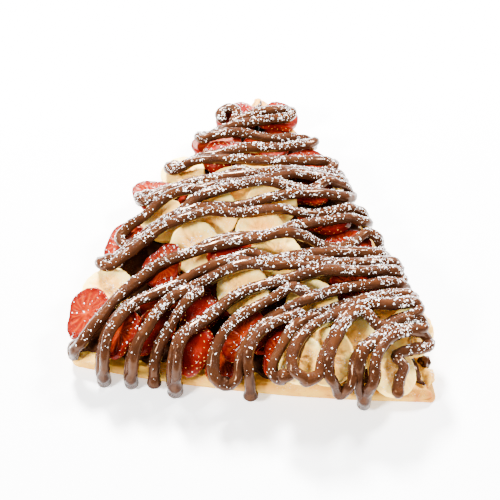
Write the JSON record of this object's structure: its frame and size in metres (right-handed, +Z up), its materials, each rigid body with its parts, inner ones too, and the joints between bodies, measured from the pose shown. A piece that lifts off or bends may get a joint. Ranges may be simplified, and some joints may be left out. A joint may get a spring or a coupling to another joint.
{
  "type": "folded crepe with fruit",
  "caption": "Thin crepe folded into a rounded triangle, topped with sliced strawberries and bananas under a thick zigzag drizzle of chocolate spread.",
  "frame": {"origin": "on the surface it rests on, under the middle of the whole food's box", "axes": "+Z up, the front fold along X at -Y, the far corner of the triangle towards +Y"},
  "size_m": [0.1922, 0.2027, 0.0413],
  "materials": {
    "crepe": "soft baked pancake, pale gold with brown spots",
    "spread": "smooth milk chocolate hazelnut spread, slightly glossy",
    "strawberry": "moist cut strawberry",
    "banana": "moist cut banana"
  },
  "bodies": {
    "root": {"banana_01": "banana", "banana_02": "banana", "banana_03": "banana", "banana_04": "banana", "banana_05": "banana", "banana_06": "banana", "banana_07": "banana", "banana_08": "banana", "banana_09": "banana", "banana_10": "banana", "banana_11": "banana", "banana_12": "banana", "banana_13": "banana", "banana_14": "banana", "banana_15": "banana", "banana_16": "banana", "banana_17": "banana", "banana_18": "banana", "banana_19": "banana", "crepe": "crepe", "spread": "spread", "strawberry_01": "strawberry", "strawberry_02": "strawberry", "strawberry_03": "strawberry", "strawberry_04": "strawberry", "strawberry_05": "strawberry", "strawberry_06": "strawberry", "strawberry_07": "strawberry", "strawberry_08": "strawberry", "strawberry_09": "strawberry", "strawberry_10": "strawberry", "strawberry_11": "strawberry", "strawberry_12": "strawberry", "strawberry_13": "strawberry", "strawberry_14": "strawberry", "strawberry_15": "strawberry", "strawberry_16": "strawberry", "strawberry_17": "strawberry", "strawberry_18": "strawberry", "strawberry_19": "strawberry", "strawberry_20": "strawberry", "strawberry_21": "strawberry", "strawberry_22": "strawberry", "strawberry_23": "strawberry", "strawberry_24": "strawberry", "strawberry_25": "strawberry", "strawberry_26": "strawberry", "strawberry_27": "strawberry"}
  },
  "joints": []
}
